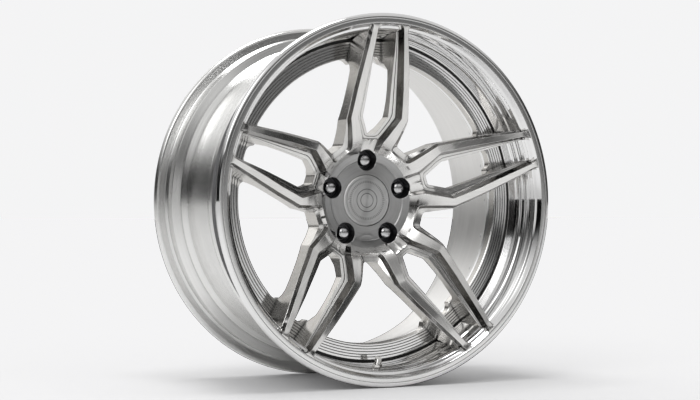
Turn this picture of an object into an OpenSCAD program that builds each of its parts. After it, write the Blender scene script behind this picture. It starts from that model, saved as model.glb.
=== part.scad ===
// Three-piece forged wheel with five twin-arm spokes and a stepped lip.
// Millimetres. The wheel turns about the Y axis, its street face looks along -Y and +Z is up.
// The origin is on the axis, halfway between the two flanges.

/* [Rim] */
// outside radius of both flanges
flange_r = 272; // [268:0.5:276]
// radius of the tyre bead seats
bead_r = 254; // [253:0.5:255]
// overall width over both flanges
rim_w = 260; // [256:1:268]
// inside radius of the lip in front of the seal
lip_r = 239.3; // [238.5:0.1:240]
// outside radius of the tyre well
well_r = 236; // [235.5:0.5:238]

/* [Centre] */
// depth of the hub face behind the front flange
hub_depth = 80; // [78:1:82]
// depth of the mounting face behind the front flange
mount_depth = 118; // [116:1:122]
// radius of the turned hub face
hub_face_r = 59; // [57:0.5:60]
// outside radius of the mounting ring
ring_r = 236.6; // [236:0.1:236.8]
// inside radius of the mounting ring
ring_in = 213; // [212:0.5:214]

/* [Spokes] */
// number of twin-arm spokes
spokes = 5; // [5:1:5]
// distance of the arm's knee from the axis
knee_r = 120; // [116:1:124]
// from the spoke's middle line to the outer side of the knee
knee_out = 50; // [48:0.5:52]
// from the spoke's middle line to the inner side of the knee
knee_in = 32; // [30:0.5:34]
// from the spoke's middle line to the outer side of the arm's tip
tip_out = 30; // [29:0.5:31]
// from the spoke's middle line to the inner side of the arm's tip
tip_in = 18; // [17:0.5:19]
// depth of the ledge around the small windows
ledge_h = 12.5; // [11:0.5:13.5]
// width of the ledge around the small windows
ledge_w = 11; // [9:0.5:12]

/* [Lug bolts] */
// bolt circle diameter
pcd = 120; // [120:0.1:120]
// radius of the pockets round the bolt heads
pocket_r = 16; // [15:0.5:16.5]
// radius of the bolt shank
stud_r = 7; // [7:0.1:7]

/* [Hub bore] */
// radius of the centring ring's hole
bore_r = 36.3; // [36:0.05:37]
// radius of the bore that takes the centring ring
ring_bore_r = 41; // [40.5:0.5:42]
// radius of the centre cap
cap_r = 38; // [37.5:0.1:38.2]

/* [Joint] */
// number of assembly bolts
joint_bolts = 25; // [20:5:30]
// radius of the assembly bolt circle
joint_r = 221.5; // [221:0.5:222.5]

/* [Hidden] */
half_w = rim_w / 2;
face_h = half_w - hub_depth;
mount_h = half_w - mount_depth;
ring_front = half_w - 66;
ring_back = face_h + 0.2;
outer_back = ring_back - 7;
inner_front = outer_back - 0.2;
inner_back = inner_front - 7;
step = 360 / spokes;
ring_fn = 100;
ledge_root = 7;
lug_ang = 90;
valve_h = half_w - 47;
valve_tilt = 20;
valve_r = 246.4;

// Parts are drawn with their axis along Z and their street side up, then laid along Y.
module on_axle() {
  rotate([90, 0, 0]) children();
}

module turned(fn) {
  rotate_extrude($fn = fn) children();
}

module around(count, radius, first) {
  for (i = [0 : count - 1])
    rotate([0, 0, first + i * 360 / count])
      translate([radius, 0, 0])
        children();
}

// ---------- rim halves ----------

// The rounded edge of a flange.
module flange_roll(height) {
  intersection() {
    translate([flange_r - 6, height])
      circle(r = 6, $fn = 40);
    translate([flange_r - 8, height - 7])
      square([9, 14]);
  }
}

module outer_section() {
  polygon([
    [257.5, half_w - 2.5],
    [flange_r - 5, half_w - 2.5],
    [flange_r - 5, half_w - 12],
    [bead_r + 3, half_w - 12],
    [bead_r, half_w - 15],
    [bead_r, half_w - 34],
    [bead_r + 1.5, half_w - 37],
    [bead_r + 1.5, half_w - 41],
    [lip_r + 4.5, half_w - 68],
    [lip_r + 4.5, outer_back],
    [ring_in + 0.5, outer_back],
    [ring_in + 0.5, ring_back - 0.2],
    [lip_r, ring_back - 0.2],
    [lip_r, ring_front],
    [lip_r + 4.7, half_w - 48],
    [lip_r + 6.2, half_w - 46],
    [lip_r + 6.2, half_w - 36],
    [lip_r + 8.2, half_w - 34],
    [lip_r + 8.2, half_w - 19],
    [lip_r + 9.7, half_w - 17],
    [lip_r + 9.7, half_w - 8],
    [lip_r + 11.2, half_w - 7]
  ]);
}

module outer_half() {
  color([0.86, 0.86, 0.87])
    on_axle()
      difference() {
        union() {
          turned(ring_fn)
            outer_section();
          turned(ring_fn)
            flange_roll(half_w - 6);
        }
        around(joint_bolts, joint_r, 0)
          translate([0, 0, outer_back - 1])
            cylinder(r = 3.8, h = 9, $fn = 16);
        valve_place()
          translate([0, 0, -14])
            cylinder(r = 5.9, h = 30, $fn = 24);
        valve_place()
          translate([0, 0, 0.9])
            cylinder(r = 8.5, h = 20, $fn = 32);
      }
}

module inner_section() {
  polygon([
    [ring_in + 0.5, inner_front],
    [lip_r + 4.5, inner_front],
    [lip_r + 4.5, 26],
    [well_r, 2],
    [well_r, 52 - half_w],
    [well_r + 7, 44 - half_w],
    [well_r + 7, 42 - half_w],
    [bead_r + 1.5, 38 - half_w],
    [bead_r + 1.5, 34 - half_w],
    [bead_r, 31 - half_w],
    [bead_r, 15 - half_w],
    [bead_r + 3, 12 - half_w],
    [flange_r - 5, 12 - half_w],
    [flange_r - 5, 2.5 - half_w],
    [flange_r - 14, 2.5 - half_w],
    [bead_r - 5, 6 - half_w],
    [bead_r - 5.5, 34 - half_w],
    [well_r + 1, 44 - half_w],
    [well_r - 6, 56 - half_w],
    [well_r - 6, inner_back],
    [ring_in + 0.5, inner_back]
  ]);
}

module inner_half() {
  color([0.8, 0.8, 0.81])
    on_axle()
      difference() {
        union() {
          turned(ring_fn)
            inner_section();
          turned(ring_fn)
            flange_roll(6 - half_w);
        }
        around(joint_bolts, joint_r, 0)
          translate([0, 0, inner_back - 1])
            cylinder(r = 3.8, h = 9, $fn = 16);
      }
}

// ---------- centre ----------

// Height of the spoke face over the radius, lowered by "down".
module face_profile(down, top) {
  polygon([
    [56, face_h - down],
    [hub_face_r, face_h - down],
    [hub_face_r + 1.5, face_h + 1.5 - down],
    [71, face_h + 3.5 - down],
    [80.6, face_h + 15 - down],
    [92, face_h + 25 - down],
    [105, face_h + 33 - down],
    [125, face_h + 43.5 - down],
    [165, face_h + 56.5 - down],
    [192, face_h + 65 - down],
    [220, face_h + 72.5 - down],
    [257, half_w - 0.2 - down],
    [280, half_w - 0.2 - down],
    [280, top],
    [56, top]
  ]);
}

// Height of the channel floors and of the ledge round the small windows.
module floor_profile() {
  polygon([
    [60, face_h + 1],
    [75, face_h + 1.5],
    [92, face_h + 25 - ledge_h],
    [105, face_h + 33 - ledge_h],
    [125, face_h + 43.5 - ledge_h],
    [165, face_h + 56.5 - ledge_h],
    [192, face_h + 65 - ledge_h],
    [220, face_h + 72.5 - ledge_h],
    [257, half_w - 0.2 - ledge_h],
    [280, half_w - 0.2 - ledge_h],
    [280, half_w + 10],
    [60, half_w + 10]
  ]);
}

module centre_section() {
  polygon([
    [30, face_h],
    [hub_face_r, face_h],
    [hub_face_r + 1.5, face_h + 1.5],
    [71, face_h + 3.5],
    [80.6, face_h + 15],
    [92, face_h + 25],
    [105, face_h + 33],
    [125, face_h + 43.5],
    [165, face_h + 56.5],
    [192, face_h + 65],
    [220, face_h + 72.5],
    [257, half_w - 0.2],
    [263.6, half_w - 0.2],
    [263.6, half_w - 2.2],
    [257.2, half_w - 2.2],
    [250, half_w - 7.4],
    [lip_r + 9.2, half_w - 8],
    [lip_r + 9.2, half_w - 17.2],
    [lip_r + 7.7, half_w - 19.2],
    [lip_r + 7.7, half_w - 34.2],
    [lip_r + 5.7, half_w - 36.2],
    [lip_r + 5.7, half_w - 46.2],
    [lip_r + 4.2, half_w - 48.2],
    [ring_r, ring_front - 0.5],
    [ring_r, ring_back],
    [ring_in, ring_back],
    [209, face_h + 13],
    [203, face_h + 22],
    [195, face_h + 26.5],
    [180, face_h + 25],
    [150, face_h + 17],
    [120, face_h + 1],
    [98, face_h - 18],
    [82, mount_h],
    [30, mount_h]
  ]);
}

module small_window_top() {
  polygon([
    [62, -13],
    [88, -14.5],
    [knee_r + 1, -knee_in - 2],
    [257, -tip_in],
    [257, tip_in],
    [knee_r + 1, knee_in + 2],
    [88, 14.5],
    [62, 13]
  ]);
}

module small_window() {
  polygon([
    [99, -7],
    [knee_r + 4, ledge_w - knee_in],
    [185, -18.2],
    [240, 1.5 - tip_in],
    [270, 1.5 - tip_in],
    [270, tip_in - 1.5],
    [240, tip_in - 1.5],
    [185, 18.2],
    [knee_r + 4, knee_in - ledge_w],
    [99, 7]
  ]);
}

// One side of a large window, from the knee of one spoke's arm to its tip.
function turn_to_gap(x, y) = [
  x * cos(step / 2) + y * sin(step / 2),
  x * sin(step / 2) - y * cos(step / 2)
];
gap_knee = turn_to_gap(knee_r - 1, knee_out);
gap_tip = turn_to_gap(flange_r - 8, tip_out);
gap_far = turn_to_gap(flange_r + 20, tip_out - 2);

module large_window_top() {
  polygon([
    [79.5, -17.5],
    [gap_knee[0], -gap_knee[1]],
    [gap_tip[0], -gap_tip[1]],
    [gap_far[0], -gap_far[1]],
    [flange_r + 60, 0],
    [gap_far[0], gap_far[1]],
    [gap_tip[0], gap_tip[1]],
    [gap_knee[0], gap_knee[1]],
    [79.5, 17.5]
  ]);
}

module large_window() {
  polygon([
    [92, -11.5],
    [gap_knee[0] + 2, 2.5 - gap_knee[1]],
    [gap_tip[0], 1.5 - gap_tip[1]],
    [gap_far[0], 1.5 - gap_far[1]],
    [gap_far[0], gap_far[1] - 1.5],
    [gap_tip[0], gap_tip[1] - 1.5],
    [gap_knee[0] + 2, gap_knee[1] - 2.5],
    [92, 11.5]
  ]);
}

// The arms stand clear of the turned ring in front of it and the ring stays whole behind.
module window_cut() {
  union() {
    translate([0, 0, ring_front])
      linear_extrude(height = 90)
        children();
    intersection() {
      translate([0, 0, mount_h - 5])
        linear_extrude(height = 160)
          children();
      translate([0, 0, mount_h - 6])
        cylinder(r = ring_in, h = 170, $fn = ring_fn);
    }
  }
}

module centre_disc() {
  color([0.75, 0.75, 0.76])
    on_axle()
      difference() {
        turned(ring_fn)
          centre_section();
        for (i = [0 : spokes - 1])
          rotate([0, 0, lug_ang + i * step])
            window_cut()
              small_window();
        for (i = [0 : spokes - 1])
          rotate([0, 0, lug_ang + (i + 0.5) * step])
            window_cut()
              large_window();
        intersection() {
          turned(ring_fn)
            floor_profile();
          union() {
            for (i = [0 : spokes - 1])
              rotate([0, 0, lug_ang + i * step])
                linear_extrude(height = half_w + 20)
                  small_window_top();
          }
        }
        intersection() {
          turned(ring_fn)
            face_profile(ledge_root, half_w + 10);
          union() {
            for (i = [0 : spokes - 1])
              rotate([0, 0, lug_ang + (i + 0.5) * step])
                linear_extrude(height = half_w + 20)
                  large_window_top();
          }
        }
        around(spokes, pcd / 2, lug_ang) {
          translate([0, 0, face_h - 16])
            cylinder(r = pocket_r, h = 60, $fn = 40);
          translate([0, 0, mount_h - 1])
            cylinder(r = 12.2, h = 60, $fn = 32);
        }
        translate([0, 0, mount_h - 1])
          cylinder(r = ring_bore_r, h = 13, $fn = 64);
        translate([0, 0, mount_h])
          cylinder(r = 34.6, h = 60, $fn = 64);
        translate([0, 0, face_h - 3.5])
          cylinder(r = cap_r + 0.4, h = 10, $fn = 64);
        around(spokes, 64, lug_ang + step / 2)
          translate([0, 0, mount_h - 1])
            cylinder(r = 13, h = 15, $fn = 32);
        around(joint_bolts, joint_r, 0)
          translate([0, 0, ring_back - 1])
            cylinder(r = 3.8, h = 11, $fn = 16);
      }
}

// ---------- joint hardware ----------

module assembly_bolts() {
  color([0.62, 0.62, 0.63])
    on_axle()
      around(joint_bolts, joint_r, 0)
        union() {
          translate([0, 0, inner_back - 6.2])
            cylinder(r = 5.6, h = 6, $fn = 12);
          translate([0, 0, inner_back - 0.2])
            cylinder(r = 3.5, h = 22, $fn = 14);
        }
}

module face_seal() {
  color([0.04, 0.04, 0.04])
    on_axle()
      turned(ring_fn)
        polygon([
          [ring_r + 0.1, ring_back],
          [lip_r - 0.1, ring_back],
          [lip_r - 0.1, ring_front - 2.5],
          [ring_r + 0.1, ring_front - 2.5]
        ]);
}

module joint_seal() {
  color([0.2, 0.2, 0.21])
    on_axle()
      turned(ring_fn)
        polygon([
          [lip_r + 4.6, outer_back + 3],
          [lip_r + 6.4, outer_back + 1],
          [lip_r + 6.4, inner_front - 1],
          [lip_r + 4.6, inner_front - 3]
        ]);
}

module seat_inserts() {
  color([0.3, 0.3, 0.31])
    on_axle()
      around(spokes, pcd / 2, lug_ang)
        difference() {
          translate([0, 0, mount_h + 1])
            cylinder(r = 12, h = 19, $fn = 32);
          translate([0, 0, mount_h])
            cylinder(r = 8.4, h = 30, $fn = 32);
          translate([0, 0, mount_h + 14])
            cylinder(r1 = 7.6, r2 = 11, h = 6.1, $fn = 32);
        }
}

// ---------- lug bolts ----------

module lug_bolt(number) {
  color([0.7, 0.7, 0.72])
    on_axle()
      rotate([0, 0, lug_ang + number * step])
        translate([pcd / 2, 0, 0])
          turned(32)
            polygon([
              [0, mount_h - 28],
              [stud_r - 1.5, mount_h - 28],
              [stud_r, mount_h - 26.5],
              [stud_r, mount_h + 13.7],
              [10.7, mount_h + 20.2],
              [10.7, mount_h + 22],
              [9.2, mount_h + 22.5],
              [9.2, mount_h + 31],
              [8.2, mount_h + 33.2],
              [6, mount_h + 34.9],
              [3, mount_h + 35.8],
              [0, mount_h + 36]
            ]);
}

module lug_bolt_1() {
  lug_bolt(0);
}

module lug_bolt_2() {
  lug_bolt(1);
}

module lug_bolt_3() {
  lug_bolt(2);
}

module lug_bolt_4() {
  lug_bolt(3);
}

module lug_bolt_5() {
  lug_bolt(4);
}

// ---------- hub and cap ----------

module hub_ring() {
  color([0.15, 0.15, 0.16])
    on_axle()
      turned(64)
        polygon([
          [bore_r, mount_h + 0.5],
          [ring_bore_r - 0.05, mount_h + 0.5],
          [ring_bore_r - 0.05, mount_h + 11.9],
          [bore_r, mount_h + 11.9]
        ]);
}

module centre_cap() {
  color([0.72, 0.72, 0.73])
    on_axle()
      turned(64)
        polygon([
          [0, face_h - 1],
          [33.5, face_h - 1],
          [33.5, face_h + 0.6],
          [36.5, face_h + 0.6],
          [cap_r, face_h - 0.6],
          [cap_r, face_h - 2.2],
          [34.2, face_h - 2.2],
          [34.2, face_h - 8],
          [32.9, face_h - 8],
          [32.9, face_h - 10],
          [34.2, face_h - 10],
          [33.4, face_h - 15],
          [31, face_h - 15],
          [31, face_h - 4.5],
          [0, face_h - 4.5]
        ]);
}

module cap_emblem() {
  color([0.8, 0.8, 0.81])
    on_axle()
      difference() {
        translate([0, 0, face_h - 0.95])
          cylinder(r = 33.2, h = 1.9, $fn = 64);
        difference() {
          translate([0, 0, face_h + 0.4])
            cylinder(r = 24, h = 5, $fn = 64);
          translate([0, 0, face_h])
            cylinder(r = 22.4, h = 6, $fn = 64);
        }
        around(2, 30.6, 0)
          translate([0, 0, face_h - 4])
            cylinder(r = 1.1, h = 8, $fn = 16);
      }
}

module cap_screws() {
  color([0.85, 0.85, 0.86])
    on_axle()
      around(2, 30.6, 0)
        union() {
          translate([0, 0, face_h - 0.9])
            cylinder(r = 1, h = 2.4, $fn = 16);
          translate([0, 0, face_h + 1.05])
            cylinder(r = 1.7, h = 0.9, $fn = 16);
        }
}

module cap_ring() {
  color([0.5, 0.5, 0.52])
    on_axle()
      translate([0, 0, face_h - 9])
        turned(64)
          translate([33.75, 0])
            circle(r = 0.75, $fn = 16);
}

module cap_gasket() {
  color([0.05, 0.05, 0.05])
    on_axle()
      turned(64)
        polygon([
          [34.9, face_h - 3.3],
          [37, face_h - 3.3],
          [37, face_h - 2.4],
          [34.9, face_h - 2.4]
        ]);
}

// ---------- valve, in the lip at the bottom ----------

module valve_place() {
  rotate([0, 0, -90])
    translate([valve_r, 0, valve_h])
      rotate([0, valve_tilt - 90, 0])
        children();
}

module valve_stem() {
  color([0.7, 0.7, 0.71])
    on_axle()
      valve_place()
        difference() {
          union() {
            translate([0, 0, -9.6])
              cylinder(r = 8, h = 2.6, $fn = 32);
            translate([0, 0, -8])
              cylinder(r = 4.2, h = 21, $fn = 32);
          }
          translate([0, 0, -10])
            cylinder(r = 2.6, h = 30, $fn = 24);
        }
}

module valve_grommet() {
  color([0.04, 0.04, 0.04])
    on_axle()
      valve_place()
        difference() {
          translate([0, 0, -6.4])
            cylinder(r = 5.7, h = 7, $fn = 32);
          translate([0, 0, -10])
            cylinder(r = 4.3, h = 20, $fn = 32);
        }
}

module valve_washer() {
  color([0.72, 0.72, 0.73])
    on_axle()
      valve_place()
        difference() {
          translate([0, 0, 1.1])
            cylinder(r = 7.5, h = 1, $fn = 32);
          translate([0, 0, 0])
            cylinder(r = 4.35, h = 4, $fn = 32);
        }
}

module valve_nut() {
  color([0.68, 0.68, 0.7])
    on_axle()
      valve_place()
        difference() {
          translate([0, 0, 2.2])
            cylinder(r = 7, h = 4, $fn = 6);
          translate([0, 0, 0])
            cylinder(r = 4.35, h = 10, $fn = 32);
        }
}

module valve_core() {
  color([0.8, 0.68, 0.3])
    on_axle()
      valve_place()
        difference() {
          translate([0, 0, -3])
            cylinder(r = 2.5, h = 14, $fn = 24);
          translate([0, 0, -4])
            cylinder(r = 0.9, h = 20, $fn = 16);
        }
}

module valve_pin() {
  color([0.75, 0.75, 0.76])
    on_axle()
      valve_place()
        translate([0, 0, 1])
          cylinder(r = 0.8, h = 10.6, $fn = 16);
}

module valve_cap() {
  color([0.78, 0.78, 0.79])
    on_axle()
      valve_place()
        difference() {
          translate([0, 0, 6.6])
            cylinder(r = 5.4, h = 8.6, $fn = 32);
          translate([0, 0, 6])
            cylinder(r = 4.4, h = 7.6, $fn = 32);
        }
}

outer_half();
inner_half();
centre_disc();
assembly_bolts();
face_seal();
joint_seal();
seat_inserts();
lug_bolt_1();
lug_bolt_2();
lug_bolt_3();
lug_bolt_4();
lug_bolt_5();
hub_ring();
centre_cap();
cap_emblem();
cap_screws();
cap_ring();
cap_gasket();
valve_stem();
valve_grommet();
valve_washer();
valve_nut();
valve_core();
valve_pin();
valve_cap();
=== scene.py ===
import math

import bmesh
import bpy
import numpy as np
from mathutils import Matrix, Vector
from mathutils.geometry import delaunay_2d_cdt


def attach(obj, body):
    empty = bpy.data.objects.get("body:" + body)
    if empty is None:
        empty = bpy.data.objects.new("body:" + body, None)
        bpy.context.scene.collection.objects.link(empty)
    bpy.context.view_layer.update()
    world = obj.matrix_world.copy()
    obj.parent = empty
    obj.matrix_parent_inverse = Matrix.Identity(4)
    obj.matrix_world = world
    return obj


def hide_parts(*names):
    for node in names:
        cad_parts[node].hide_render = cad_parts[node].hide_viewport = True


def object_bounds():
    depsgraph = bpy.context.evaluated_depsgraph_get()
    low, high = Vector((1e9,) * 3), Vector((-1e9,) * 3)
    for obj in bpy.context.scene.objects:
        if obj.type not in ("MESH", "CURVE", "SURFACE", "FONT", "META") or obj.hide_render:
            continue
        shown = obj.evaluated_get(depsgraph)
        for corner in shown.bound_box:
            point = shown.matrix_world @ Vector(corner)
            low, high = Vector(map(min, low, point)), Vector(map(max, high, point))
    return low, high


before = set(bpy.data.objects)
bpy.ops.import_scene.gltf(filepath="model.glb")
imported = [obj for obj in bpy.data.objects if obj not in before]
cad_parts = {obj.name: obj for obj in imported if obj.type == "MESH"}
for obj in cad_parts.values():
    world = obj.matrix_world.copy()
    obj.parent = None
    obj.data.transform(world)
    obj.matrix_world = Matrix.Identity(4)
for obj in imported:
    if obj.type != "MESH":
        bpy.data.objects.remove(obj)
CAD_BOX = [list(v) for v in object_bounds()]

# ------------------------------------------------------------------ helpers
# Shapes are worked out in millimetres: x, y across the wheel as seen from the front, h towards the street.
MM = 1000.0
TURN_STEPS = 320
SHARP_TURNED = 24.0
SHARP_FORGED = 23.0
NEARLY_STRAIGHT = math.radians(87)  # half the angle at a corner
MAX_CUT = 0.45  # of a side, taken by the arc at its end


def to_row(v):
    """Millimetres of the wheel to metres of the shared frame."""
    v = np.asarray(v, float)
    return np.stack([v[:, 0], -v[:, 2], v[:, 1]], 1) / MM


def make(name, verts, faces, sharp_deg):
    """A mesh object on the rim body, smooth except across edges sharper than sharp_deg."""
    me = bpy.data.meshes.new(name)
    me.from_pydata([tuple(p) for p in to_row(verts)], [], [tuple(int(i) for i in f) for f in faces])
    me.validate()
    me.shade_smooth()
    me.set_sharp_from_angle(angle=math.radians(sharp_deg))
    ob = bpy.data.objects.new(name, me)
    bpy.context.scene.collection.objects.link(ob)
    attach(ob, "rim")
    return ob


def rounded(points, radii, steps=3):
    """Each inner corner of an open 2D line becomes a small arc, with one radius per point."""
    pts = [np.array(p[:2], float) for p in points]
    n = len(pts)
    out = []
    for i, p in enumerate(pts):
        if i in (0, n - 1):
            out.append(p)
            continue
        a, b = pts[i - 1] - p, pts[i + 1] - p
        la, lb = np.linalg.norm(a), np.linalg.norm(b)
        a, b = a / la, b / lb
        half = math.acos(max(-1, min(1, float(a @ b)))) / 2
        if radii[i] <= 0 or half > NEARLY_STRAIGHT:
            out.append(p)
            continue
        cut = min(radii[i] / math.tan(half), la * MAX_CUT, lb * MAX_CUT)
        s, e = p + a * cut, p + b * cut
        for k in range(steps + 1):
            f = k / steps
            out.append((1 - f) ** 2 * s + 2 * f * (1 - f) * p + f * f * e)
    return out


def resample(points, step):
    """The same line with no piece longer than step."""
    pts = [np.array(p, float) for p in points]
    out = [pts[0]]
    for a, b in zip(pts, pts[1:]):
        n = max(1, int(math.ceil(np.linalg.norm(b - a) / step - 1e-6)))
        for k in range(1, n + 1):
            out.append(a + (b - a) * k / n)
    return out


def lathe(profile, segs=TURN_STEPS):
    """A closed (radius, height) outline turned about the axis."""
    v, f = [], []
    m = len(profile)
    for i in range(segs):
        a = 2 * math.pi * i / segs
        c, s = math.cos(a), math.sin(a)
        for r, h in profile:
            v.append((r * c, r * s, h))
    area = sum(p[0] * q[1] - q[0] * p[1] for p, q in zip(profile, list(profile[1:]) + [profile[0]]))
    for i in range(segs):
        j = (i + 1) % segs
        for k in range(m):
            n = (k + 1) % m
            q = (i * m + k, j * m + k, j * m + n, i * m + n)
            f.append(q if area > 0 else q[::-1])
    return v, f


def interp(r, table):
    """The height at radius r in a table of (radius, height)."""
    return float(np.interp(r, [a for a, _ in table], [b for _, b in table]))


# ------------------------------------------------------------------ materials


class Nodes:
    """Short names for building a node tree. p is the Principled shader where the tree has one."""

    def __init__(self, tree):
        self.t = tree
        self.p = tree.nodes.get("Principled BSDF")

    def new(self, kind, **kw):
        n = self.t.nodes.new(kind)
        for k, v in kw.items():
            setattr(n, k, v)
        return n

    def link(self, a, b):
        self.t.links.new(a, b)

    def math(self, op, a, b=None):
        n = self.new("ShaderNodeMath", operation=op)
        for i, x in enumerate((a, b)):
            if x is None:
                continue
            if isinstance(x, (int, float)):
                n.inputs[i].default_value = x
            else:
                self.link(x, n.inputs[i])
        return n.outputs[0]

    def combine(self, x, y, z):
        n = self.new("ShaderNodeCombineXYZ")
        for i, q in enumerate((x, y, z)):
            if isinstance(q, (int, float)):
                n.inputs[i].default_value = q
            else:
                self.link(q, n.inputs[i])
        return n.outputs[0]

    def polar(self):
        """Direction round the axis (two numbers), radius, depth and the object coordinates, in metres."""
        tc = self.new("ShaderNodeTexCoord")
        sep = self.new("ShaderNodeSeparateXYZ")
        self.link(tc.outputs["Object"], sep.inputs[0])
        x, z = sep.outputs[0], sep.outputs[2]
        r = self.math("SQRT", self.math("ADD", self.math("MULTIPLY", x, x), self.math("MULTIPLY", z, z)))
        safe = self.math("MAXIMUM", r, 1e-5)
        cx, cz = self.math("DIVIDE", x, safe), self.math("DIVIDE", z, safe)
        return cx, cz, r, sep.outputs[1], tc.outputs["Object"]

    def noise(self, vec, scale=1.0, detail=3.0, rough=0.55):
        n = self.new("ShaderNodeTexNoise")
        n.inputs["Scale"].default_value = scale
        n.inputs["Detail"].default_value = detail
        n.inputs["Roughness"].default_value = rough
        self.link(vec, n.inputs["Vector"])
        return n.outputs["Fac"]

    def ramp(self, fac, stops):
        n = self.new("ShaderNodeValToRGB")
        while len(n.color_ramp.elements) < len(stops):
            n.color_ramp.elements.new(0.5)
        for e, (pos, c) in zip(n.color_ramp.elements, stops):
            e.position = pos
            e.color = (*c, 1.0) if hasattr(c, "__len__") else (c, c, c, 1.0)
        self.link(fac, n.inputs[0])
        return n.outputs[0]

    def map(self, x, lo, hi):
        n = self.new("ShaderNodeMapRange")
        n.inputs["To Min"].default_value = lo
        n.inputs["To Max"].default_value = hi
        self.link(x, n.inputs["Value"])
        return n.outputs[0]

    def painted_corner_shade(self, distance, dark):
        """Light held back in inner corners, as a factor from dark to one."""
        ao = self.new("ShaderNodeAmbientOcclusion", samples=6, only_local=True)
        ao.inputs["Distance"].default_value = distance
        f = self.math("POWER", ao.outputs["AO"], 1.6)
        return self.map(f, dark, 1.0)

    def multiply(self, colour, factor):
        mix = self.new("ShaderNodeVectorMath", operation="SCALE")
        self.link(colour, mix.inputs[0])
        self.link(factor, mix.inputs["Scale"])
        return mix.outputs[0]

    def bump(self, height, strength, distance, edge=0.0):
        n = self.new("ShaderNodeBump")
        if edge:
            bevel = self.new("ShaderNodeBevel", samples=4)
            bevel.inputs["Radius"].default_value = edge
            self.link(bevel.outputs[0], n.inputs["Normal"])
        n.inputs["Strength"].default_value = strength
        n.inputs["Distance"].default_value = distance
        self.link(height, n.inputs["Height"])
        self.link(n.outputs[0], self.p.inputs["Normal"])


def new_material(name):
    m = bpy.data.materials.new(name)
    m.use_nodes = True
    return m, Nodes(m.node_tree)


def turned_metal(name, tint, rough, groove=900.0, bump=0.25, depth=0.00002, aniso=0.0, var=0.05, axial=True,
        painted_corner_shade=True, edge=0.0):
    """Metal with fine lines round the wheel's axis, faint radial scuffs, slow tone changes and, unless switched
    off, painted shade darkening its inner corners.
    """
    m, n = new_material(name)
    cx, cz, r, y, obj = n.polar()
    across = n.math("ADD", r, n.math("MULTIPLY", y, 0.83 if axial else 0.0))
    lines = n.noise(n.combine(n.math("MULTIPLY", cx, 1.3), n.math("MULTIPLY", cz, 1.3),
        n.math("MULTIPLY", across, groove)), 1.0, 4.0, 0.6)
    bands = n.noise(n.combine(n.math("MULTIPLY", cx, 0.8), n.math("MULTIPLY", cz, 0.8),
        n.math("MULTIPLY", across, groove * 0.3)), 1.0, 3.0, 0.7)
    slow = n.noise(obj, 9.0, 3.0)
    scuff = n.noise(obj, 160.0, 4.0, 0.7)
    tone = n.math("ADD", n.math("MULTIPLY", n.math("ADD", lines, bands), 0.36), n.math("MULTIPLY", slow, 0.28))
    lo, hi = [max(0.0, c - var) for c in tint], [min(1.0, c + var * 0.6) for c in tint]
    base = n.ramp(tone, [(0.3, lo), (0.7, hi)])
    # painted shade: ambient occlusion darkens the base colour in inner corners
    n.link(n.multiply(base, n.painted_corner_shade(0.005, 0.3)) if painted_corner_shade else base, n.p.inputs["Base Color"])
    rr = n.math("ADD", n.math("MULTIPLY", lines, 0.7), n.math("MULTIPLY", scuff, 0.3))
    n.link(n.map(rr, rough * 0.7, rough * 1.35), n.p.inputs["Roughness"])
    n.p.inputs["Metallic"].default_value = 1.0
    if aniso:
        n.p.inputs["Anisotropic"].default_value = aniso
        n.p.inputs["Anisotropic Rotation"].default_value = 0.0
        tg = n.new("ShaderNodeTangent", direction_type="RADIAL", axis="Y")
        n.link(tg.outputs[0], n.p.inputs["Tangent"])
    n.bump(n.math("ADD", n.math("MULTIPLY", lines, 0.9), n.math("MULTIPLY", scuff, 0.15)), bump, depth, edge)
    return m


def brushed_metal(name, tint, rough, bump=0.25):
    """Metal brushed outwards along the arms, with painted shade darkening its corners, its edges worn round."""
    m, n = new_material(name)
    cx, cz, r, y, obj = n.polar()
    along = n.math("ADD", n.math("MULTIPLY", r, 10.0), n.math("MULTIPLY", y, 60.0))
    grain = n.combine(n.math("MULTIPLY", cx, 90.0), n.math("MULTIPLY", cz, 90.0), along)
    streak = n.noise(grain, 1.0, 6.0, 0.7)
    slow = n.noise(obj, 14.0, 3.0)
    fine = n.noise(obj, 420.0, 3.0, 0.6)
    tone = n.math("ADD", n.math("MULTIPLY", streak, 0.65), n.math("MULTIPLY", slow, 0.35))
    base = n.ramp(tone, [(0.3, [max(0, c - 0.14) for c in tint]), (0.7, [min(1, c + 0.06) for c in tint])])
    # painted shade: ambient occlusion darkens the base colour in inner corners
    n.link(n.multiply(base, n.painted_corner_shade(0.006, 0.22)), n.p.inputs["Base Color"])
    mixed = n.math("ADD", n.math("MULTIPLY", streak, 0.75), n.math("MULTIPLY", fine, 0.25))
    n.link(n.map(mixed, rough * 0.6, rough * 1.5), n.p.inputs["Roughness"])
    n.p.inputs["Metallic"].default_value = 1.0
    n.bump(n.math("ADD", n.math("MULTIPLY", streak, 0.8), n.math("MULTIPLY", fine, 0.2)), bump, 0.00008,
        edge=0.0011)
    return m


def plain_metal(name, tint, rough):
    """Metal with a fine even grain."""
    m, n = new_material(name)
    tc = n.new("ShaderNodeTexCoord")
    fine = n.noise(tc.outputs["Object"], 1800.0, 4.0, 0.65)
    slow = n.noise(tc.outputs["Object"], 60.0, 3.0)
    tone = n.math("ADD", n.math("MULTIPLY", fine, 0.4), n.math("MULTIPLY", slow, 0.6))
    n.link(n.ramp(tone, [(0.3, [c * 0.82 for c in tint]), (0.72, [min(1, c * 1.08) for c in tint])]),
        n.p.inputs["Base Color"])
    n.link(n.map(fine, rough * 0.7, rough * 1.4), n.p.inputs["Roughness"])
    n.p.inputs["Metallic"].default_value = 1.0
    n.bump(fine, 0.2, 0.00002)
    return m


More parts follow.
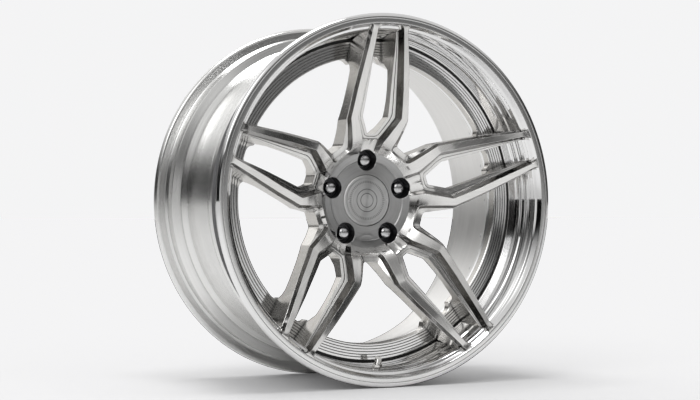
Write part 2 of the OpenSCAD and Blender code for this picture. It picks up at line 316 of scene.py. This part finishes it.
def rubber(name, tint, rough):
    """Rubber or plastic with a fine even grain."""
    m, n = new_material(name)
    tc = n.new("ShaderNodeTexCoord")
    fine = n.noise(tc.outputs["Object"], 1500.0, 4.0, 0.65)
    slow = n.noise(tc.outputs["Object"], 30.0, 3.0)
    n.link(n.ramp(slow, [(0.3, [c * 0.7 for c in tint]), (0.7, [c * 1.4 for c in tint])]),
        n.p.inputs["Base Color"])
    n.link(n.map(fine, rough * 0.8, rough * 1.2), n.p.inputs["Roughness"])
    n.bump(fine, 0.3, 0.00003)
    return m


LIP = turned_metal("polished_lip", (0.90, 0.90, 0.905), 0.05, groove=700.0, bump=0.04, depth=0.00001, var=0.08,
    edge=0.0009)
BARREL = turned_metal("turned_barrel", (0.84, 0.84, 0.835), 0.2, groove=900.0, bump=0.6, depth=0.00008,
    var=0.14)
CENTRE = brushed_metal("brushed_centre", (0.84, 0.835, 0.825), 0.17, bump=0.2)
SATIN = turned_metal("satin_bore", (0.88, 0.875, 0.865), 0.42, groove=500.0, bump=0.4, depth=0.00004, var=0.06)
FACE = turned_metal("fine_turned_face", (0.88, 0.88, 0.88), 0.11, groove=900.0, bump=0.3, depth=0.00003,
    var=0.12, axial=False)
# The turned hub face's base colour is darker than the rest of the centre's aluminium: painted shade over its
# real turned grain.
HUB = turned_metal("turned_hub_painted_shade", (0.50, 0.50, 0.50), 0.32, groove=1300.0, bump=0.6, depth=0.00006, aniso=0.9,
    var=0.14, axial=False)
CAPM = turned_metal("cap_turned", (0.66, 0.66, 0.66), 0.36, groove=1500.0, bump=0.6, depth=0.00006, aniso=0.9,
    var=0.14, axial=False, painted_corner_shade=False)
# Darker copies of the centre's aluminium for the arms' sloped facets and side walls: painted shade.
SHADED_FACET = brushed_metal("facet_painted_shade", (0.36, 0.355, 0.35), 0.16, bump=0.15)
SHADED_WALL = brushed_metal("wall_painted_shade", (0.64, 0.625, 0.60), 0.22, bump=0.22)


CAP_TICKS = 60.0
TICK_RING = (0.0258, 0.0292)
CAP_CIRCLES = (0.0104, 0.0168)
HALF_CUT = 0.0005


def cap_face(name):
    """Turned plate with a plain ring of short engraved ticks between two engraved circles."""
    m = turned_metal(name, (0.66, 0.66, 0.66), 0.38, groove=1500.0, bump=0.6, depth=0.00006, aniso=0.92,
        var=0.16, axial=False, painted_corner_shade=False)
    n = Nodes(m.node_tree)
    cx, cz, r, *_ = n.polar()
    turn = n.math("ARCTAN2", cz, cx)
    tick = n.math("GREATER_THAN", n.math("COSINE", n.math("MULTIPLY", turn, CAP_TICKS)), 0.55)
    band = n.math("MULTIPLY", n.math("GREATER_THAN", r, TICK_RING[0]), n.math("LESS_THAN", r, TICK_RING[1]))
    cut = n.math("MULTIPLY", tick, band)
    for radius in CAP_CIRCLES:
        away = n.math("ABSOLUTE", n.math("SUBTRACT", r, radius))
        cut = n.math("MAXIMUM", cut, n.math("LESS_THAN", away, HALF_CUT))
    old = n.p.inputs["Base Color"].links[0].from_socket
    n.link(n.multiply(old, n.map(cut, 1.0, 0.22)), n.p.inputs["Base Color"])
    return m


PLATE = cap_face("cap_plate")
# Near-black base colour for the lug pockets' bores: painted shade for the shadow deep inside them.
SHADED_POCKET = plain_metal("pocket_painted_shade", (0.10, 0.10, 0.105), 0.3)
LUG = plain_metal("lug_plated", (0.66, 0.66, 0.67), 0.2)
BOLT = plain_metal("bolt_steel", (0.62, 0.62, 0.63), 0.32)
DARK = plain_metal("dark_steel", (0.09, 0.09, 0.095), 0.4)
SCREW = plain_metal("screw_steel", (0.92, 0.92, 0.93), 0.2)
WIRE = plain_metal("spring_steel", (0.5, 0.5, 0.52), 0.3)
NICKEL = plain_metal("valve_nickel", (0.78, 0.77, 0.75), 0.2)
BRASS = plain_metal("brass_core", (0.75, 0.58, 0.27), 0.3)
PLASTIC = rubber("ring_plastic", (0.05, 0.05, 0.055), 0.45)
RUBBER = rubber("black_rubber", (0.012, 0.012, 0.012), 0.5)
SEALANT = rubber("sealant", (0.13, 0.13, 0.135), 0.5)


def paint(ob, *mats):
    """The object gets these materials, and its faces are given one by their place in the list."""
    ob.data.materials.clear()
    for m in mats:
        ob.data.materials.append(m)


# ------------------------------------------------------------------ rim halves


def roll(cx, cy, rad, a0, a1, n=14):
    """The rounded lip of a flange, as an arc in the outline."""
    return [(cx + rad * math.cos(math.radians(a0 + (a1 - a0) * i / n)),
        cy + rad * math.sin(math.radians(a0 + (a1 - a0) * i / n))) for i in range(n + 1)]


ROLL_R, FLANGE_H, ROLL = 266.0, 124.0, 6.0  # the middle of each flange's rounded lip, and its radius
lip_line = [(213.5, 43.2), (213.5, 50.0), (239.3, 50.0), (239.3, 64.0), (244.0, 82.0), (245.5, 84.0),
    (245.5, 94.0), (247.5, 96.0), (247.5, 111.0), (249.0, 113.0), (249.3, 120.4), (250.4, 121.8),
    (253.4, 123.6), (256.7, 128.4), (257.6, 129.8), (263.8, 129.8), (264.4, 129.6)]
lip_back = [(257.0, 118.0), (254.0, 115.0), (254.0, 96.0), (255.5, 93.0), (255.5, 89.0), (243.8, 62.0),
    (243.8, 43.2)]
street_side = rounded(lip_line,
    [0.3, 0.3, 0.3, 1.0, 1.6, 0.8, 0.8, 0.8, 0.8, 0.8, 0.8, 1.0, 0.8, 0.6, 0.2, 0.2, 0.2])
tyre_side = rounded([(262.0, 118.0)] + lip_back + [(230.0, 43.2)], [0, 2.0, 2.0, 1.5, 1.5, 1.5, 4.0, 0.4, 0])
outline = [tuple(p) for p in street_side] + roll(ROLL_R, FLANGE_H, ROLL, 103, -90)
outline += [tuple(p) for p in tyre_side[1:-1]]
outer = make("rim_outer_half", *lathe(outline), SHARP_TURNED)
paint(outer, LIP, BARREL, FACE)
for poly in outer.data.polygons:
    c, nrm = poly.center * MM, poly.normal
    rr = math.hypot(c.x, c.z)
    if (nrm.x * c.x + nrm.z * c.z) / rr > 0.1 and -c.y < 122:
        poly.material_index = 1  # the tyre side
    elif rr > 257 and nrm.y < -0.9 and -c.y > 129:
        poly.material_index = 2  # the flange's flat ring
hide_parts("outer_half")

inner_line = [(230.0, 36.0), (213.5, 36.0), (213.5, 43.0), (243.8, 43.0), (243.8, 26.0), (236.0, 2.0),
    (236.0, -78.0), (243.0, -86.0), (243.0, -88.0), (255.5, -92.0), (255.5, -96.0), (254.0, -99.0),
    (254.0, -115.0), (257.0, -118.0), (262.0, -118.0)]
inner_rest = [(263.0, -129.4), (258.0, -127.5), (249.0, -124.0), (248.5, -96.0), (237.0, -86.0), (230.0, -74.0),
    (230.0, -20.0)]
outside = rounded(inner_line, [0, 0.4, 0.3, 0.4, 3.0, 4.0, 5.0, 1.0, 1.2, 1.5, 1.5, 1.5, 2.0, 2.0, 0])
inside = rounded(inner_rest, [0, 2.0, 3.0, 5.0, 5.0, 6.0, 0])
outline = [tuple(p) for p in outside[:-1]] + roll(ROLL_R, -FLANGE_H, ROLL, 90, -112)
outline += [tuple(p) for p in inside]
inner = make("rim_inner_half", *lathe(outline), SHARP_TURNED)
paint(inner, BARREL, SATIN)
for poly in inner.data.polygons:
    c, nrm = poly.center, poly.normal
    if nrm.x * c.x + nrm.z * c.z < 0 and math.hypot(c.x, c.z) < 0.252:
        poly.material_index = 1  # the side that faces the brake
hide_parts("inner_half")

# ------------------------------------------------------------------ forged centre

# Heights by radius: the arms' upper faces, the channel floors in the small windows, and the back.
TOP = [(30, 50.0), (59, 50.0), (60.5, 51.5), (71, 53.5), (80.6, 65.0), (86, 70.2), (92, 75.0), (98, 79.0),
    (105, 83.0), (115, 88.7), (125, 93.5), (145, 100.6), (165, 106.5), (192, 115.0), (220, 122.5), (240, 126.9),
    (252, 129.3), (255, 129.62), (258, 129.6), (259.5, 129.3), (262, 129.2), (300, 129.2)]
BED = [(30, 51.0), (60, 51.0), (75, 51.5), (84, 56.6), (92, 62.3), (105, 70.5), (125, 80.6), (145, 87.6),
    (165, 93.6), (192, 102.2), (220, 109.8), (240, 113.8), (262, 117.5)]
BASE = [(30, 12.0), (82, 12.0), (98, 32.0), (110, 43.5), (120, 51.0), (135, 60.0), (150, 67.0), (165, 71.8),
    (180, 75.0), (195, 76.5), (203, 72.0), (209, 63.0), (213, 50.6), (236.4, 50.6), (236.7, 63.4),
    (243.4, 82.4), (245.0, 85.0), (245.1, 94.0), (247.0, 96.5), (247.1, 111.0), (248.4, 113.2), (248.6, 122.2),
    (250.4, 123.2), (257.5, 127.6), (262, 127.6)]
SPOKES = 5
SPOKE = math.radians(36)  # from an arm pair's middle to the middle of the large window beside it
LUG_R = 60.0
HUB_HOLE = 34.6
BOLT_HOLE = 12.15
RELIEF_R = 64.0
CENTRE_EDGE = 262.0


def gap(u, v):
    """A point given along and across a large window's middle line, in the spoke's own axes."""
    return (u * math.cos(SPOKE) + v * math.sin(SPOKE), u * math.sin(SPOKE) - v * math.cos(SPOKE))


def top(r):
    return interp(r, TOP)


def bed(r):
    return interp(r, BED)


def fade(x, a, b):
    """Nought below a, one above b, with a smooth step between."""
    f = min(1.0, max(0.0, (x - a) / (b - a)))
    return f * f * (3 - 2 * f)


pts2, tops, bases, links = [], [], [], []


def base_at(x, y, extra=0.0):
    """The height of the back, with the bore's recess and the relief pockets."""
    r = math.hypot(x, y)
    if r < 40.95:
        h = 24.0
    elif math.hypot(x - gap(RELIEF_R, 0)[0], y - gap(RELIEF_R, 0)[1]) < 12.95:
        h = 26.0
    else:
        h = interp(r, BASE)
    return h + extra


def put(x, y, h, extra=0.0):
    """One point of the plan, with its height in front and behind."""
    pts2.append((x, y))
    tops.append(h)
    bases.append(base_at(x, y, extra))
    return len(pts2) - 1


def line(points, height, step=3.0, extra=None):
    """A crease: points along it and the links between them, which the mesh has to keep."""
    ids = []
    for p in resample(points, step):
        r = math.hypot(p[0], p[1])
        ids.append(put(p[0], p[1], height(p[0], p[1], r), extra(r) if extra else 0.0))
    links.extend(zip(ids, ids[1:]))
    return ids


def arc(r, a0, a1, h, step=3.0, centre=(0.0, 0.0)):
    """A crease along an arc, in degrees, about the wheel's axis or the lug's."""
    n = max(3, int(abs(a1 - a0) * math.pi / 180 * r / step))
    pts = [(centre[0] + r * math.cos(math.radians(a0 + (a1 - a0) * i / n)),
        centre[1] + r * math.sin(math.radians(a0 + (a1 - a0) * i / n))) for i in range(n + 1)]
    if a0 == 0:
        pts[0] = (pts[0][0], 0.0)
    if a1 == 36 and centre == (0.0, 0.0):
        pts[-1] = gap(r, 0)
    ids = [put(p[0], p[1], h if np.isscalar(h) else h(p[0], p[1], math.hypot(*p))) for p in pts]
    links.extend(zip(ids, ids[1:]))


def smooth_line(points, radii):
    return rounded(points, radii, steps=5)


# small window side: top edge, foot of the wall, two-level ledge, opening
w0 = smooth_line([(66.2, 14.9), (86, 17.2), (120.5, 36.2), (162, 32.4), (190, 28.4), (219, 24.8), (247, 21.6),
    (251.5, 20.7), (254.5, 18.9), (256.6, 16.2), (258.2, 12.4), (262, 7.0)],
    [0, 10, 8, 30, 30, 30, 10, 2, 2, 2, 1, 0])
w1 = smooth_line([(72.3, 10.5), (91.5, 12.6), (122, 31.2), (148, 28.6), (190, 23.9), (219, 21.0), (247, 18.4),
    (251, 17.5), (254, 15.8), (256, 13.4), (257.8, 9.6), (262, 4.2)], [0, 4, 5, 30, 30, 30, 10, 2, 2, 2, 1, 0])
w3 = smooth_line([(99, 0), (99, 7), (124, 21.2), (185, 18.2), (240, 16.9), (250, 16.1), (253.4, 14.4),
    (255.4, 12.2), (257.2, 8.4), (262, 2.0)], [0, 3, 4, 40, 10, 2, 2, 2, 1, 0])


def between(a, b, f, n=90):
    """A line part way between two lines, matched by distance along them."""
    def at(line_, t):
        q = np.array(line_, float)
        d = np.r_[0, np.cumsum(np.linalg.norm(np.diff(q, axis=0), axis=1))]
        return np.array([np.interp(t * d[-1], d, q[:, 0]), np.interp(t * d[-1], d, q[:, 1])])
    return [at(a, i / n) * (1 - f) + at(b, i / n) * f for i in range(n + 1)]


w1_full = [(91.55, 0.0), (91.55, 9.4)] + [p for p in w1 if p[0] > 91.9]
w2a = between(w1_full, w3, 0.42)
w2b = between(w1_full, w3, 0.50)
w2a[0], w2b[0] = np.array([w2a[0][0], 0.0]), np.array([w2b[0][0], 0.0])

line(w0, lambda x, y, r: top(r))
line(w1, lambda x, y, r: bed(r))
line(w2a, lambda x, y, r: bed(r) - 0.5)
line(w2b, lambda x, y, r: bed(r) - 1.8)
W3 = line(w3, lambda x, y, r: bed(r) - 2.4, extra=lambda r: 6.0 * fade(r, 100, 112) * (1 - fade(r, 192, 203)))
line([(91.1, 0.0), (91.1, 11.0)], lambda x, y, r: 62.9)
line([(91.5, 0.0), (91.5, 11.2)], lambda x, y, r: 61.8)

# outer side: top edge, foot of the facet, ledge at the root of the large window
e0 = smooth_line([gap(78.6, 0), gap(78.6, 17.6), (119.7, 46.9), (162, 42.0), (190.5, 37.9), (219, 33.3),
    (247.6, 28.7), (251.8, 28.4), (254.6, 29.7), (256.6, 32.2), (258.2, 36.0), (262, 41.5)],
    [0, 9, 9, 30, 30, 30, 6, 2, 2, 2, 1, 0])
e1 = smooth_line([gap(83.2, 0), gap(83.2, 15.0), (118.6, 50.3), (162, 45.2), (190.5, 40.9), (219, 36.1),
    (247.6, 31.3), (251.4, 31.2), (254.2, 32.6), (256.2, 35.2), (257.8, 39.0), (262, 44.4)],
    [0, 7, 7, 30, 30, 30, 6, 2, 2, 2, 1, 0])
e2 = smooth_line([gap(91.5, 0), gap(91.5, 10.8), (118.4, 51.2), (162, 45.7), (190.5, 41.4), (219, 36.6),
    (247.6, 31.8), (251.0, 31.9), (253.8, 33.4), (255.8, 36.2), (257.2, 40.0), (262, 46.0)],
    [0, 5, 7, 30, 30, 30, 6, 2, 2, 2, 1, 0])


def outer_drop(r):
    return 0.3 + 1.9 * fade(r, 80, 125) * (1 - fade(r, 246, 256))


line(e0, lambda x, y, r: top(r) - outer_drop(r))
line(e1, lambda x, y, r: top(r) - 9.4)
E2 = line(e2, lambda x, y, r: top(r) - 9.9 - 4.6 * (1 - fade(r, 92, 124)))

# lug pocket
LUGC = (LUG_R, 0.0)


def rim_height(x, y, r):
    """The pocket's edge climbs from the channel floor to the hub face round its sides."""
    a = math.degrees(math.atan2(y, x - LUG_R))
    lo, hi = bed(r), top(r)
    return lo + (hi - lo) * fade(a, 40, 66)


arc(16.2, 0, 180, rim_height, 2.0, LUGC)
arc(15.6, 0, 180, lambda x, y, r: rim_height(x, y, r) - 0.6, 2.0, LUGC)
arc(15.3, 0, 180, 34.6, 2.0, LUGC)
arc(14.8, 0, 180, 34.0, 2.0, LUGC)
arc(12.2, 0, 180, 34.0, 2.0, LUGC)

# hub face, its step and the sloped ring
arc(HUB_HOLE, 0, 36, 46.5)
arc(38.35, 0, 36, 46.5)
arc(38.5, 0, 36, 49.5)
arc(38.9, 0, 36, 50.0)
arc(40.85, 0, 36, 50.0)
arc(41.05, 0, 36, 50.0)
arc(59.0, 16.2, 36, 50.0)
arc(60.5, 16.0, 36, 51.5)
arc(71.0, 12.9, 36, 53.5)
arc(80.6, 14.0, 21.5, lambda x, y, r: top(r))
# rear relief pockets, seen from behind
gx, gy = gap(RELIEF_R, 0)
for rr in (12.85, 13.05):
    q = []
    for i in range(25):
        an = SPOKE + math.pi + math.pi * i / 24
        q.append((gx + rr * math.cos(an), gy + rr * math.sin(an)))
    q[0], q[-1] = gap(RELIEF_R - rr, 0), gap(RELIEF_R + rr, 0)
    ids = [put(p[0], p[1], top(math.hypot(*p))) for p in q]
    links.extend(zip(ids, ids[1:]))

# edges of the worked piece
UNCUT = 200.0
line([(HUB_HOLE, 0.0), (99.0, 0.0)], lambda x, y, r: top(r) if r < 44 else (34.0 if r < 76 else bed(r)), UNCUT)
line([gap(HUB_HOLE, 0), gap(91.5, 0)], lambda x, y, r: top(r), UNCUT)

edge = [(30.0, 0.0)] + [tuple(pts2[i]) for i in W3] + [tuple(pts2[i]) for i in reversed(E2)] + [gap(30.0, 0)]
edge_np = np.array(edge)
seg_a = np.array([pts2[i] for i, j in links])
seg_b = np.array([pts2[j] for i, j in links])
w0_np, e0_np = np.array([tuple(p) for p in w0]), np.array([tuple(p) for p in e0])


def distance(a, b, x, y):
    """From a point to the nearest of the segments that run from a to b."""
    p, d = np.array([x, y]), b - a
    t = np.clip(((p - a) * d).sum(1) / np.maximum((d * d).sum(1), 1e-12), 0, 1)
    return float(np.min(np.hypot(*(a + d * t[:, None] - p).T)))


def within(poly, x, y):
    """Whether the point lies inside the closed outline."""
    px, py = poly[:, 0], poly[:, 1]
    qx, qy = np.roll(px, -1), np.roll(py, -1)
    cross = (py > y) != (qy > y)
    with np.errstate(divide="ignore", invalid="ignore"):
        at = (qx - px) * (y - py) / (qy - py) + px
    return bool(np.sum(cross & (x < at)) % 2)


top_area = [(30.0, 0.0), (60.0, 0.0), (60.0, 14.0)] + [tuple(p) for p in w0]
top_area = np.array(top_area + [tuple(p) for p in reversed(e0)] + [gap(30.0, 0)])
channel = [(60.0, 0.0), (60.0, 10.0)] + [tuple(p) for p in w1 if p[0] < 91.0]
channel = np.array(channel + [(91.1, 10.9), (91.1, 0.0)])

# loose points on the open faces near the hub, so that no long thin triangle crosses them
LOOSE_FROM, LOOSE_TO, LOOSE_STEP, LOOSE_ACROSS = 37.0, 120.0, 2.6, 3.0
r = LOOSE_FROM
while r < LOOSE_TO:
    n = int(r * SPOKE / LOOSE_ACROSS)
    for i in range(1, n):
        an = SPOKE * i / n
        x, y = r * math.cos(an), r * math.sin(an)
        if distance(seg_a, seg_b, x, y) > 1.2 and math.hypot(x - LUG_R, y) > 17:
            if within(top_area, x, y):
                dw = distance(w0_np[:-1], w0_np[1:], x, y)
                de = distance(e0_np[:-1], e0_np[1:], x, y)
                put(x, y, top(r) - outer_drop(r) * dw / (dw + de))
            elif within(channel, x, y):
                put(x, y, bed(r))
    r += LOOSE_STEP

out = delaunay_2d_cdt([Vector(p) for p in pts2], list(links), [], 0, 1e-4, True)
cv, cf, orig = out[0], out[2], out[3]
top_z, base_z = [], []
for i, p in enumerate(cv):
    if orig[i]:
        best = orig[i][0]
        top_z.append(tops[best])
        base_z.append(bases[best])
    else:
        rr = math.hypot(p[0], p[1])
        top_z.append(top(rr))
        base_z.append(base_at(p[0], p[1]))
tri = []
for f in cf:
    cx = sum(cv[i][0] for i in f) / 3
    cy = sum(cv[i][1] for i in f) / 3
    rr = math.hypot(cx, cy)
    if rr < HUB_HOLE or rr > CENTRE_EDGE or math.hypot(cx - LUG_R, cy) < BOLT_HOLE:
        continue
    if not within(edge_np, cx, cy):
        continue
    ax, ay = cv[f[0]][0], cv[f[0]][1]
    turn = (cv[f[1]][0] - ax) * (cv[f[2]][1] - ay) - (cv[f[1]][1] - ay) * (cv[f[2]][0] - ax)
    if abs(turn) < 1e-7:
        continue
    tri.append(tuple(f) if turn > 0 else tuple(reversed(f)))
used = sorted({i for f in tri for i in f})
index = {v: k for k, v in enumerate(used)}
n = len(used)
sec_v = [(cv[i][0], cv[i][1], top_z[i]) for i in used] + [(cv[i][0], cv[i][1], base_z[i]) for i in used]
sec_f = [tuple(index[i] for i in f) for f in tri]
sec_f += [tuple(index[i] + n for i in reversed(f)) for f in tri]
sides = {(f[i], f[(i + 1) % 3]): True for f in tri for i in range(3)}
tan36 = math.tan(SPOKE)


def on_cut(i):
    """1 or 2 where the point lies on a plane that the half sector is mirrored in, else 0."""
    x, y = cv[i][0], cv[i][1]
    return 1 if abs(y) < 1e-3 else (2 if abs(y - x * tan36) < 2e-3 else 0)


for i, j in sides:
    if (j, i) not in sides:
        ci, cj = on_cut(i), on_cut(j)
        if ci and ci == cj:
            continue
        a, b = index[i], index[j]
        sec_f.append((b, a, a + n, b + n))
sec = np.array(sec_v)
all_v, all_f = [], []
for k in range(SPOKES):
    for mirror in (1, -1):
        m = sec.copy()
        m[:, 1] *= mirror
        an = math.radians(90 + 72 * k)
        x = m[:, 0] * math.cos(an) - m[:, 1] * math.sin(an)
        y = m[:, 0] * math.sin(an) + m[:, 1] * math.cos(an)
        first = len(all_v)
        all_v.extend(zip(x, y, m[:, 2]))
        for f in sec_f:
            g = f if mirror == 1 else tuple(reversed(f))
            all_f.append(tuple(q + first for q in g))

# mounting ring behind the arms, its inner edge rounded into them
RING_STEPS = 720
RING_INNER, RING_OUTER = 213.0, 236.6
RING_BACK, RING_FRONT = 50.2, 63.5
GROOVES, GROOVE_DEEP = (232.5, 228.5, 224.5, 220.5, 216.5), 0.9
ARM_FROM, ARM_TO = 4.75, 10.1  # degrees from the pair's middle, where an arm meets the ring
FILLET, FILLET_REACH = 13.0, 9.0
first = len(all_v)
for i in range(RING_STEPS):
    an = 2 * math.pi * i / RING_STEPS
    away = abs((math.degrees(an) - 90 + 36) % 72 - 36)
    d = math.radians(max(0.0, ARM_FROM - away, away - ARM_TO)) * RING_INNER
    web = FILLET - math.sqrt(max(0.0, FILLET ** 2 - max(0.0, FILLET - d) ** 2)) if d < FILLET else 0.0
    rin = RING_INNER - min(web, FILLET_REACH)
    section = [(rin, RING_BACK), (RING_OUTER, RING_BACK), (RING_OUTER, 62.9), (236.0, RING_FRONT)]
    for groove in GROOVES:
        section += [(groove + 0.7, RING_FRONT), (groove + 0.3, RING_FRONT - GROOVE_DEEP)]
        section += [(groove - 0.3, RING_FRONT - GROOVE_DEEP), (groove - 0.7, RING_FRONT)]
    section += [(rin + 1.2, RING_FRONT), (rin, 62.3)]
    all_v.extend((rr * math.cos(an), rr * math.sin(an), h) for rr, h in section)
count = len(section)
for i in range(RING_STEPS):
    here, there = first + i * count, first + (i + 1) % RING_STEPS * count
    for k in range(count):
        nxt = (k + 1) % count
        all_f.append((there + k, there + nxt, here + nxt, here + k))
centre = make("forged_centre", all_v, all_f, SHARP_FORGED)
bm = bmesh.new()
bm.from_mesh(centre.data)
bmesh.ops.remove_doubles(bm, verts=bm.verts, dist=2e-6)
bmesh.ops.recalc_face_normals(bm, faces=bm.faces)
bm.to_mesh(centre.data)
bm.free()
centre.data.shade_smooth()
centre.data.set_sharp_from_angle(angle=math.radians(SHARP_FORGED))
paint(centre, CENTRE, HUB, FACE, SHADED_POCKET, SHADED_FACET, SHADED_WALL)
IN_SHADED_HUB, IN_FACE, IN_SHADED_POCKET, IN_SHADED_FACET, IN_SHADED_WALL = range(1, 6)
turns = [math.radians(90 + 72 * k) for k in range(SPOKES)]
lug_spots = [(LUG_R * math.cos(t), LUG_R * math.sin(t)) for t in turns]
for poly in centre.data.polygons:
    c = poly.center * MM
    rr, h = math.hypot(c.x, c.z), -c.y
    # The hub face takes the darker turned copy: painted shade.
    if rr < 71.3 and h > 45 and abs(poly.normal.y) > 0.6:
        poly.material_index = IN_SHADED_HUB
    elif rr > 200 and 62.8 < h < 63.6 and poly.normal.y < -0.9:
        poly.material_index = IN_FACE
    # Side walls and sloped facets of the arms take the darker copies of the aluminium: painted shade.
    elif rr > 76 and abs(poly.normal.y) < 0.16:
        poly.material_index = IN_SHADED_WALL
    elif rr > 76 and h > 52 and -0.62 < poly.normal.y < -0.16:
        poly.material_index = IN_SHADED_FACET
    # Faces inside the lug pockets take the near-black painted shade.
    if min(math.hypot(c.x - x, c.z - z) for x, z in lug_spots) < 15.7 and h > 20:
        poly.material_index = IN_SHADED_POCKET
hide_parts("centre_disc")

# ------------------------------------------------------------------ carried-over CAD nodes
FINISH = {
    "assembly_bolts": BOLT, "face_seal": RUBBER, "joint_seal": SEALANT, "seat_inserts": DARK,
    "lug_bolt_1": LUG, "lug_bolt_2": LUG, "lug_bolt_3": LUG, "lug_bolt_4": LUG, "lug_bolt_5": LUG,
    "hub_ring": PLASTIC, "centre_cap": CAPM, "cap_emblem": PLATE, "cap_screws": SCREW,
    "cap_ring": WIRE, "cap_gasket": RUBBER, "valve_stem": NICKEL, "valve_grommet": RUBBER,
    "valve_washer": NICKEL, "valve_nut": NICKEL, "valve_core": BRASS, "valve_pin": SCREW, "valve_cap": NICKEL,
}
for node, mat in FINISH.items():
    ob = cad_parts[node]
    if not ob.hide_render:
        paint(ob, mat)

# ------------------------------------------------------------------ floor, world, lights, camera
lowest = CAD_BOX[0][2]
me = bpy.data.meshes.new("floor")
HALF = 40.0
me.from_pydata([(-HALF, -HALF, 0), (HALF, -HALF, 0), (HALF, HALF, 0), (-HALF, HALF, 0)], [], [(0, 1, 2, 3)])
ground = bpy.data.objects.new("floor", me)
bpy.context.scene.collection.objects.link(ground)
ground.location = (0, 0, lowest)
paper, fl = new_material("floor_paper")
tc = fl.new("ShaderNodeTexCoord")
fl.link(fl.ramp(fl.noise(tc.outputs["Object"], 2.0, 2.0), [(0.0, 0.90), (1.0, 0.93)]),
    fl.p.inputs["Base Color"])
fl.p.inputs["Roughness"].default_value = 0.8
ground.data.materials.append(paper)
ground.is_shadow_catcher = True

world = bpy.data.worlds.new("studio")
bpy.context.scene.world = world
world.use_nodes = True
world.node_tree.nodes.clear()
studio = Nodes(world.node_tree)
direction = studio.new("ShaderNodeTexCoord").outputs["Generated"]


def card(vec, inner_deg, outer_deg, amount):
    """A soft-edged patch of the studio, seen in that direction."""
    v = Vector(vec).normalized()
    d = studio.new("ShaderNodeVectorMath", operation="DOT_PRODUCT")
    studio.link(direction, d.inputs[0])
    d.inputs[1].default_value = v
    mr = studio.new("ShaderNodeMapRange", interpolation_type="SMOOTHSTEP")
    mr.inputs["From Min"].default_value = math.cos(math.radians(outer_deg))
    mr.inputs["From Max"].default_value = math.cos(math.radians(inner_deg))
    mr.inputs["To Min"].default_value = 0.0
    mr.inputs["To Max"].default_value = amount
    studio.link(d.outputs["Value"], mr.inputs["Value"])
    return mr.outputs[0]


DARKS = [((-0.93, 0.36, -0.05), 16, 27, 0.97), ((-0.92, -0.39, 0.0), 14, 22, 0.96),
    ((1.0, -0.05, 0.0), 18, 40, 0.9), ((-0.32, 0.94, -0.02), 3, 12, 0.5), ((0.1, -0.6, 0.8), 6, 20, 0.6)]
LIGHTS = [((-0.2, 0.85, 0.48), 8, 22, 0.5), ((-0.56, 0.83, -0.02), 3, 9, 0.4),
    ((0.45, -0.89, 0.0), 6, 18, 0.08), ((-0.53, -0.845, 0.05), 4, 11, 0.6), ((-0.1, -0.98, -0.05), 4, 13, 0.45),
    ((-0.6, -0.45, 0.65), 8, 20, 1.2), ((0.1, 0.8, 0.6), 8, 22, 0.6)]
sky = studio.new("ShaderNodeSeparateXYZ")
studio.link(direction, sky.inputs[0])
ceiling = studio.new("ShaderNodeMapRange", interpolation_type="SMOOTHSTEP")
for socket, value in (("From Min", 0.2), ("From Max", 0.55), ("To Min", 0.0), ("To Max", 0.6)):
    ceiling.inputs[socket].default_value = value
studio.link(sky.outputs[2], ceiling.inputs["Value"])
keep = 1.0
for vec, a0, a1, amount in DARKS:
    keep = studio.math("MULTIPLY", keep, studio.math("SUBTRACT", 1.0, card(vec, a0, a1, amount)))
glow = studio.math("ADD", ceiling.outputs[0], 0.07)
for vec, a0, a1, amount in LIGHTS:
    glow = studio.math("ADD", glow, card(vec, a0, a1, amount))
level = studio.math("MULTIPLY", keep, glow)
bgs = studio.new("ShaderNodeBackground")
studio.link(level, bgs.inputs["Strength"])
bgs.inputs["Color"].default_value = (1.0, 0.995, 0.985, 1.0)
bgc = studio.new("ShaderNodeBackground")
bgc.inputs["Color"].default_value = (0.905, 0.905, 0.91, 1.0)
bgc.inputs["Strength"].default_value = 1.0
lp = studio.new("ShaderNodeLightPath")
mix = studio.new("ShaderNodeMixShader")
studio.link(lp.outputs["Is Camera Ray"], mix.inputs[0])
studio.link(bgs.outputs[0], mix.inputs[1])
studio.link(bgc.outputs[0], mix.inputs[2])
wo = studio.new("ShaderNodeOutputWorld")
studio.link(mix.outputs[0], wo.inputs[0])


def area(name, loc, target, size, power):
    l = bpy.data.lights.new(name, "AREA")
    l.shape, l.size, l.size_y, l.energy = "RECTANGLE", size[0], size[1], power
    o = bpy.data.objects.new(name, l)
    bpy.context.scene.collection.objects.link(o)
    o.location = loc
    o.rotation_mode = "QUATERNION"
    o.rotation_quaternion = (Vector(target) - Vector(loc)).to_track_quat("-Z", "Y")


area("overhead", (-0.3, -0.1, 2.4), (0, 0, 0), (1.4, 1.0), 24)
area("left_soft", (-2.2, -1.6, 1.6), (0, 0, 0), (1.0, 1.4), 4)

cam_data = bpy.data.cameras.new("camera")
cam_data.lens, cam_data.sensor_width = 88.0, 36.0
cam_data.clip_start, cam_data.clip_end = 0.05, 200.0
cam = bpy.data.objects.new("camera", cam_data)
bpy.context.scene.collection.objects.link(cam)
cam.location = (-1.166, -2.322, -0.014)
cam.rotation_mode = "QUATERNION"
cam.rotation_quaternion = Vector((0.4479, 0.8941, 0.0057)).to_track_quat("-Z", "Y")
bpy.context.scene.camera = cam
bpy.context.scene.view_settings.view_transform = "Standard"
bpy.context.scene.view_settings.look = "None"

bpy.context.view_layer.update()
